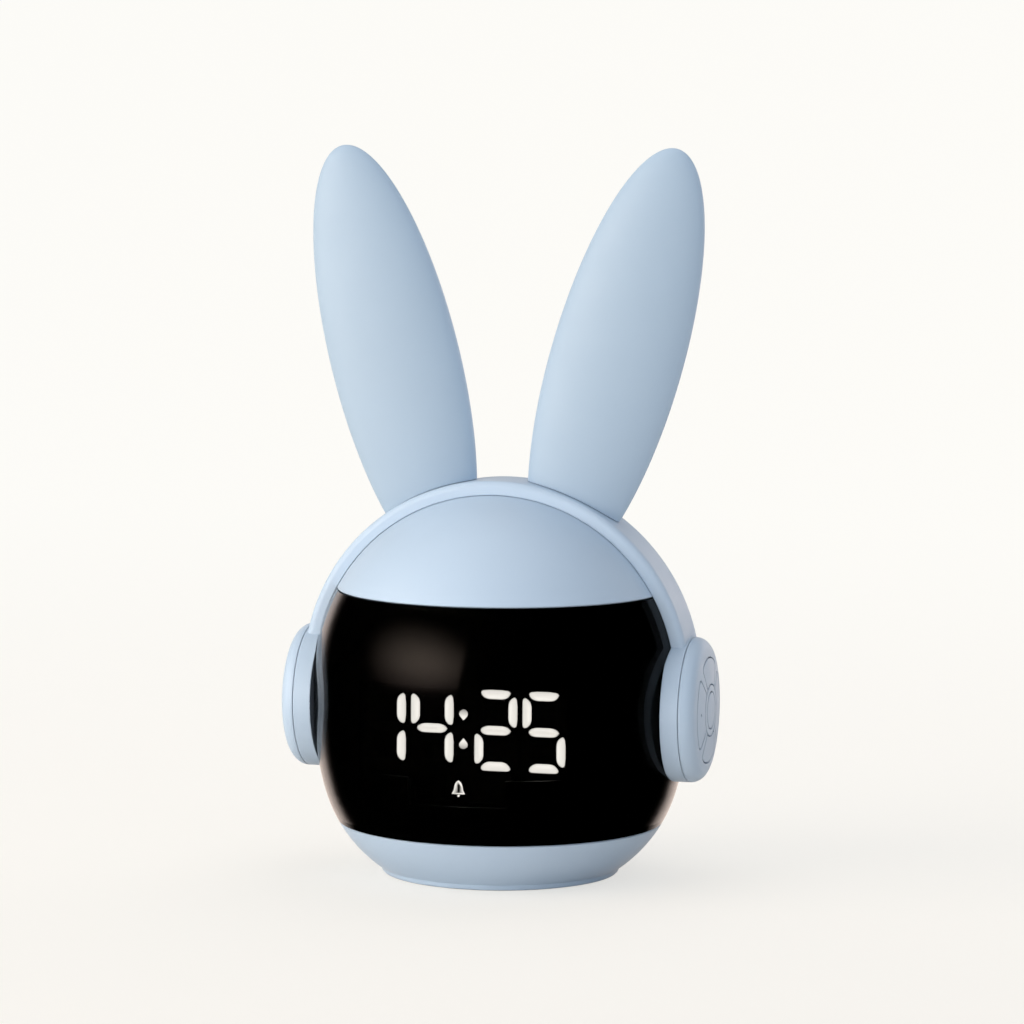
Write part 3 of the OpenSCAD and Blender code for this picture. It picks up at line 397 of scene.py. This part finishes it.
def guide_solid(face, glow, rims=(0.16, 0.3)):
    """Gives a flat face its depth behind it and an inset for each rim width in front, and writes
    how brightly each of its points glows: glow(x, y) in mm on the rim, and less inside it."""
    apply(face, "SOLIDIFY", thickness=GUIDE_DEEP * MM, offset=-1)
    mesh = face.data
    rim = len(mesh.vertices)
    for width in rims:
        pick(face, "FACE", lambda c: False)
        bpy.ops.object.mode_set(mode="OBJECT")
        front = max((f for f in mesh.polygons if f.normal.z > 0.9), key=lambda f: f.area)
        front.select = True
        bpy.ops.object.mode_set(mode="EDIT")
        bpy.ops.mesh.inset(thickness=width * MM)
        bpy.ops.object.mode_set(mode="OBJECT")
    layer = mesh.attributes.new("glow", "FLOAT", "POINT")
    for i, vertex in enumerate(mesh.vertices):
        x, y = vertex.co.x / MM, vertex.co.y / MM
        layer.data[i].value = glow(x, y) * (1.0 if i < rim else FACE_GLOW)


def end_fade(half_length, low=0.78):
    """Glow that is full in the middle of a guide and falls to low at its ends."""
    full = 0.45
    return lambda x, y: 1 - (1 - low) * max(0, abs(y) / half_length - full) / (1 - full)


def plate(wide, high, at=(0, 0)):
    """A flat plate, in mm."""
    face = new_piece(bpy.ops.mesh.primitive_plane_add, size=1)
    face.scale = (wide * MM, high * MM, 1)
    face.location = (at[0] * MM, at[1] * MM, 0)
    settle(face)
    return face


def stretch(face, share):
    only(face)
    face.scale = (1, share, 1)
    settle(face)


def upright_guide():
    """An upright segment: straight on its outer side, drawn in to both ends on its inner."""
    face = plate(GUIDE_WIDE, UPRIGHT_BLANK)
    pick(face, "VERT", lambda c: c.x > 0)
    bpy.ops.mesh.bevel(offset=UPRIGHT_OUTER * MM, segments=3, affect="VERTICES")
    pick(face, "VERT", lambda c: c.x < -1.0 * MM)
    bpy.ops.mesh.bevel(offset=UPRIGHT_INNER * MM, segments=5, affect="VERTICES")
    stretch(face, UPRIGHT_LONG / UPRIGHT_BLANK)
    guide_solid(face, end_fade(UPRIGHT_LONG / 2))
    return face


def middle_guide():
    """The middle segment, pointed at both ends."""
    face = plate(GUIDE_WIDE, MIDDLE_BLANK)
    pick(face, "VERT", lambda c: True)
    bpy.ops.mesh.bevel(offset=MIDDLE_CORNER * MM, segments=4, affect="VERTICES")
    stretch(face, MIDDLE_LONG / MIDDLE_BLANK)
    guide_solid(face, end_fade(MIDDLE_LONG / 2, 0.7))
    return face


def colon_guide():
    """A dot of the colon, pointed towards the other dot and grey at its outer end."""
    face = new_piece(bpy.ops.mesh.primitive_circle_add, vertices=32, radius=DOT_RADIUS * MM,
                     fill_type="NGON")
    for vertex in face.data.vertices:
        x = abs(vertex.co.x) / MM
        if vertex.co.y < -0.3 * MM and x < 0.97:
            vertex.co.y = min(vertex.co.y, (-DOT_POINT + DOT_TAPER * x / DOT_SHOULDER) * MM)
    guide_solid(face, lambda x, y: DOT_GREY + (1 - DOT_GREY) * min(1, (1.1 - y) / 1.9), rims=(0.12,))
    return face


def bell_guides():
    """The bell mark with a 1 left open in it, and its clapper."""
    half, brim = 1.6, 0.3
    face = plate(2 * half, brim, at=(0, brim / 2))
    # The half width that the bell narrows to, and the height that it takes to do so
    for width, rise in ((1.3, 0.35), (1.12, 0.6), (0.98, 0.85), (0.84, 0.45), (0.55, 0.4), (0.2, 0.3)):
        only(face)
        top = max(v.co.y for v in face.data.vertices)
        pick(face, "EDGE", lambda c: c.y > top - 1e-6)
        bpy.ops.mesh.extrude_region_move(TRANSFORM_OT_translate={"value": (0, rise * MM, 0)})
        bpy.ops.transform.resize(value=(width / half, 1, 1))
        half = width
    pick(face, "FACE", lambda c: True)
    bpy.ops.mesh.normals_make_consistent(inside=False)
    bpy.ops.mesh.dissolve_faces()
    bpy.ops.object.mode_set(mode="OBJECT")
    if face.data.polygons[0].normal.z < 0:
        pick(face, "FACE", lambda c: True)
        bpy.ops.mesh.flip_normals()
    stroke = plate(0.45, 1.95, at=(0.07, 1.38))
    pick(stroke, "VERT", lambda c: c.x < 0 and c.y > 2 * MM)
    bpy.ops.mesh.bevel(offset=0.22 * MM, segments=1, affect="VERTICES")
    bpy.ops.object.mode_set(mode="OBJECT")
    guide_solid(face, lambda x, y: 1, rims=())
    apply(stroke, "SOLIDIFY", thickness=3 * GUIDE_DEEP * MM, offset=0)
    combine(face, stroke, "DIFFERENCE")
    clapper = new_piece(bpy.ops.mesh.primitive_circle_add, vertices=16, radius=0.24 * MM, fill_type="NGON")
    clapper.location = (0, -0.45 * MM, 0)
    settle(clapper)
    guide_solid(clapper, lambda x, y: 1, rims=())
    return [face, clapper]


def stand(piece, x, z, turn=0):
    """Turns a guide in its own plane and stands it up behind the window, facing front."""
    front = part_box("lit_segments")[0][1]
    piece.matrix_world = (Matrix.Translation((x * MM, front, z * MM)) @ Matrix.Rotation(math.pi / 2, 4, "X")
                          @ Matrix.Rotation(math.radians(turn), 4, "Z"))
    settle(piece)
    return piece


def lit_digits():
    upright, middle_bar, dot = upright_guide(), middle_guide(), colon_guide()
    guides = []
    for digit_x, lit in DIGITS:
        for letter in lit:
            x, z, turn = SEGMENTS[letter]
            guides.append(stand(copy_of(middle_bar if letter == "g" else upright),
                                digit_x + x, DIGIT_Z + z, turn))
    for side, turn in ((1, 0), (-1, 180)):
        guides.append(stand(copy_of(dot), COLON_X, DIGIT_Z + side * COLON_RISE, turn))
    guides += [stand(part, BELL_X, BELL_Z) for part in bell_guides()]
    for blank in (upright, middle_bar, dot):
        bpy.data.objects.remove(blank, do_unlink=True)
    lit = join(guides, "lit_light_guides")
    coat(lit, lit_guide)
    return lit


digits = lit_digits()
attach(digits, "clock")
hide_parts("lit_segments")


# ---------------------------------------------------------------- studio

# In metres
TABLE = (12, 6)
TABLE_MIDDLE_Y = -2.5
SWEEP_RADIUS, SWEEP_STEPS = 1.2, 24
BACKDROP_HIGH = 3
NEAR_Y, FAR_Y = -0.2, 0.7       # between them the paper goes over to plain white
NEAR_SHARE, FAR_SHARE = 0.55, 0.94
TENT_RADIUS, TENT_MIDDLE_Z = 1.6, 0.05


def floor_sweep():
    """A pale table that sweeps up into the backdrop."""
    floor = new_piece(bpy.ops.mesh.primitive_plane_add, size=1)
    floor.name = "floor_sweep"
    floor.scale = (*TABLE, 1)
    floor.location = (0, TABLE_MIDDLE_Y, 0)
    settle(floor)
    back = max(v.co.y for v in floor.data.vertices)
    bpy.ops.object.mode_set(mode="EDIT")
    bpy.ops.mesh.select_mode(type="EDGE")
    bpy.ops.mesh.select_all(action="DESELECT")
    bpy.ops.object.mode_set(mode="OBJECT")
    for edge in floor.data.edges:
        edge.select = all(floor.data.vertices[i].co.y > back - 1e-4 for i in edge.vertices)
    bpy.ops.object.mode_set(mode="EDIT")
    for step in range(SWEEP_STEPS):
        low, high = (math.pi / 2 * k / SWEEP_STEPS for k in (step, step + 1))
        bpy.ops.mesh.extrude_region_move(TRANSFORM_OT_translate={"value": (
            0, SWEEP_RADIUS * (math.sin(high) - math.sin(low)),
            SWEEP_RADIUS * (math.cos(low) - math.cos(high)))})
    bpy.ops.mesh.extrude_region_move(TRANSFORM_OT_translate={"value": (0, 0, BACKDROP_HIGH)})
    bpy.ops.object.mode_set(mode="OBJECT")
    bpy.ops.object.shade_smooth()
    floor.data.materials.append(white_paper())
    # The tent is what glossy pieces mirror
    floor.visible_glossy = floor.visible_transmission = False


def white_paper():
    """Seamless background paper: matt, with a faint cloud of fibres. It is seen partly as lit
    paper, which keeps the shadow, and partly as plain warm white, the more the further back."""
    made, tree = material("seamless_white_paper")
    place = node(tree, "ShaderNodeTexCoord").outputs["Object"]
    fibre = node(tree, "ShaderNodeTexNoise", {"Scale": 1 / 0.05, "Detail": 4.0}, {"Vector": place})
    tint = node(tree, "ShaderNodeMix", {
        "data_type": "RGBA", MIX_A: colour("#FAF4EC"), MIX_B: colour("#FCF6EF")}, {0: fibre.outputs["Fac"]})
    paper_skin = node(tree, "ShaderNodeBsdfPrincipled", {"Roughness": 0.9, "Specular IOR Level": 0.2},
                      {"Base Color": tint.outputs[MIX_RESULT]})
    plain = node(tree, "ShaderNodeEmission", {"Color": colour("#FEFDF9"), "Strength": 1.0})
    ray = node(tree, "ShaderNodeLightPath")
    lens_or_glass = node(tree, "ShaderNodeMath", {"operation": "MAXIMUM"},
                         {0: ray.outputs["Is Camera Ray"], 1: ray.outputs["Is Transmission Ray"]})
    seen = node(tree, "ShaderNodeMath", {"operation": "MAXIMUM"},
                {0: lens_or_glass.outputs[0], 1: ray.outputs["Is Glossy Ray"]})
    depth = node(tree, "ShaderNodeSeparateXYZ", None, {0: place})
    plain_share = node(tree, "ShaderNodeMapRange", {
        "From Min": NEAR_Y, "From Max": FAR_Y, "To Min": NEAR_SHARE, "To Max": FAR_SHARE},
        {"Value": depth.outputs["Y"]})
    share = node(tree, "ShaderNodeMath", {"operation": "MULTIPLY"},
                 {0: seen.outputs[0], 1: plain_share.outputs["Result"]})
    finish_with(tree, node(tree, "ShaderNodeMixShader", None, {
        0: share.outputs[0], 1: paper_skin.outputs[0], 2: plain.outputs[0]}))
    return made


def softbox(name, place, aim, width, height, power, tint, spared=("display_window",)):
    """A rectangular lamp that lights every piece but the spared ones: the tent alone is what the
    black window mirrors."""
    lamp = bpy.data.lights.new(name, "AREA")
    lamp.shape = "RECTANGLE"
    lamp.size, lamp.size_y = width, height
    lamp.energy = power
    lamp.color = colour(tint)[:3]
    made = bpy.data.objects.new(name, lamp)
    bpy.context.scene.collection.objects.link(made)
    made.location = place
    made.rotation_euler = (Vector(aim) - Vector(place)).to_track_quat("-Z", "Y").to_euler()
    group = bpy.data.collections.new("not_lit_by_" + name)
    for piece in spared:
        group.objects.link(bpy.data.objects[piece])
    for member in group.collection_objects:
        member.light_linking.link_state = "EXCLUDE"
    made.light_linking.receiver_collection = group


# Directions from the clock, and sizes at a distance of 1
BOX_WAY = (-0.617, -0.739, 0.272)
BOX_HALF = (1.05, 0.5)
BOX_TURN = -14                              # degrees
BOX_SHIFT = (0.12, 0.1, 0)
BACKDROP_WAY = (-0.249, 0.963, -0.101)


def tent_cloth():
    """Cloth of the tent: black, but for a lit softbox's soft-edged face, the pale backdrop behind
    the clock and the table under it."""
    made, tree = material("studio_tent_cloth")
    place = node(tree, "ShaderNodeTexCoord").outputs["Object"]
    way = node(tree, "ShaderNodeVectorMath", {"operation": "NORMALIZE"}, {0: place}).outputs[0]

    def along(direction):
        return node(tree, "ShaderNodeVectorMath", {"operation": "DOT_PRODUCT", 1: direction},
                    {0: way}).outputs["Value"]

    def times(first, second):
        return node(tree, "ShaderNodeMath", {"operation": "MULTIPLY"}, {0: first, 1: second}).outputs[0]

    def ramp(value, start, end, low, high):
        return node(tree, "ShaderNodeMapRange", {"interpolation_type": "SMOOTHSTEP", "From Min": start,
                    "From Max": end, "To Min": low, "To Max": high}, {"Value": value}).outputs["Result"]

    # The softbox's face in a frame of its own: side grows to its left, rise grows up
    middle = Vector(BOX_WAY).normalized()
    left = middle.cross(Vector((0, 0, 1))).normalized()
    depth = node(tree, "ShaderNodeMath", {"operation": "MAXIMUM", 1: 0.05}, {0: along(middle)}).outputs[0]
    side = node(tree, "ShaderNodeMath", {"operation": "DIVIDE"}, {0: along(left), 1: depth}).outputs[0]
    rise = node(tree, "ShaderNodeMath", {"operation": "DIVIDE"},
                {0: along(left.cross(middle)), 1: depth}).outputs[0]
    face = node(tree, "ShaderNodeCombineXYZ", None, {"X": side, "Y": rise})
    turned = node(tree, "ShaderNodeMapping", {
        "Rotation": (0, 0, math.radians(BOX_TURN)), "Location": BOX_SHIFT,
        "Scale": (1 / BOX_HALF[0], 1 / BOX_HALF[1], 1)}, {"Vector": face.outputs[0]})
    reach = node(tree, "ShaderNodeVectorMath", {"operation": "LENGTH"},
                 {0: turned.outputs[0]}).outputs["Value"]
    fade = ramp(reach, 0.0, 1.05, 1.9, 0.0)
    glow = times(times(fade, fade), times(ramp(side, -0.60, -0.54, 0.0, 1.0),
                                          ramp(rise, -0.40, -0.28, 0.0, 1.0)))
    behind = ramp(along(BACKDROP_WAY), 0.72, 0.94, 0.0, 1.1)
    under = ramp(along((0, 0, -1)), 0.93, 0.99, 0.0, 0.8)
    lights = [node(tree, "ShaderNodeEmission", {"Color": colour(tint)}, {"Strength": strength})
              for tint, strength in (("#FFE8D5", glow), ("#FFEDE2", behind), ("#FDFCF8", under))]
    most = node(tree, "ShaderNodeAddShader", None, {0: lights[0].outputs[0], 1: lights[1].outputs[0]})
    finish_with(tree, node(tree, "ShaderNodeAddShader", None, {0: most.outputs[0], 1: lights[2].outputs[0]}))
    return made


def tent():
    """The black tent round the clock, which shows only in reflections and through the window."""
    cloth = new_piece(bpy.ops.mesh.primitive_uv_sphere_add, segments=64, ring_count=32,
                      radius=TENT_RADIUS)
    cloth.name = "studio_tent"
    pick(cloth, "FACE", lambda c: True)
    bpy.ops.mesh.flip_normals()
    bpy.ops.object.mode_set(mode="OBJECT")
    cloth.location = (0, 0, TENT_MIDDLE_Z)
    cloth.data.materials.append(tent_cloth())
    cloth.visible_camera = cloth.visible_diffuse = cloth.visible_shadow = False


def studio_air():
    """The even, slightly blue light of the room."""
    world = bpy.data.worlds.new("studio_air")
    bpy.context.scene.world = world
    world.use_nodes = True
    tree = world.node_tree
    tree.nodes.clear()
    air = node(tree, "ShaderNodeBackground", {"Color": colour("#E6F1FF"), "Strength": 0.53})
    node(tree, "ShaderNodeOutputWorld", links={"Surface": air.outputs[0]})


floor_sweep()
middle = (0, 0, 0.09)
softbox("key_softbox", (-1.1, -0.74, 0.5), middle, width=1.3, height=1.1, power=13.9, tint="#FFF3E3")
softbox("top_softbox", (0.0, 0.1, 1.4), middle, width=1.6, height=1.6, power=6.4, tint="#FFF9F0")
softbox("fill_softbox", (1.2, -0.9, 0.5), middle, width=0.8, height=1.0, power=1.4, tint="#E0EEFF")
softbox("rim_softbox", (0.62, 1.15, 0.22), (0.05, 0, 0.05), width=0.9, height=0.7, power=3.4,
        tint="#FFEDE6")
softbox("low_reflector", (-0.35, -0.8, 0.06), (0, 0, 0.02), width=0.9, height=0.25, power=3.5,
        tint="#F6FAFF", spared=("display_window", "floor_sweep", "right_ear_shell", "left_ear_shell"))
tent()
studio_air()


# ---------------------------------------------------------------- camera

TURN, HEIGHT, ROLL = 14.478, 5.795, -0.314  # degrees
TARGET = (2.545, 0, 91.681)                 # mm, as is the next
DISTANCE = 1125.0
FOCAL_PIXELS, PHOTO_PIXELS = 4454.8, 1024
SENSOR = 36


def camera():
    """The photograph's view: a long lens, 5.8 degrees above the horizon, 14.5 to the right."""
    turn, height, roll = (math.radians(v) for v in (TURN, HEIGHT, ROLL))
    target = Vector(TARGET) * MM
    away = Vector((math.sin(turn) * math.cos(height), -math.cos(turn) * math.cos(height), math.sin(height)))
    place = target + away * DISTANCE * MM
    right = (-away).cross(Vector((0, 0, 1))).normalized()
    up = right.cross(-away)
    right, up = (right * math.cos(roll) - up * math.sin(roll), up * math.cos(roll) + right * math.sin(roll))
    lens = bpy.data.cameras.new("photo_camera")
    lens.sensor_width = SENSOR
    lens.lens = FOCAL_PIXELS / PHOTO_PIXELS * SENSOR
    lens.clip_start = 0.01
    made = bpy.data.objects.new("photo_camera", lens)
    bpy.context.scene.collection.objects.link(made)
    made.matrix_world = Matrix((
        (right.x, up.x, away.x, place.x), (right.y, up.y, away.y, place.y),
        (right.z, up.z, away.z, place.z), (0, 0, 0, 1)))
    bpy.context.scene.camera = made


camera()
bpy.context.scene.view_settings.view_transform = "Standard"
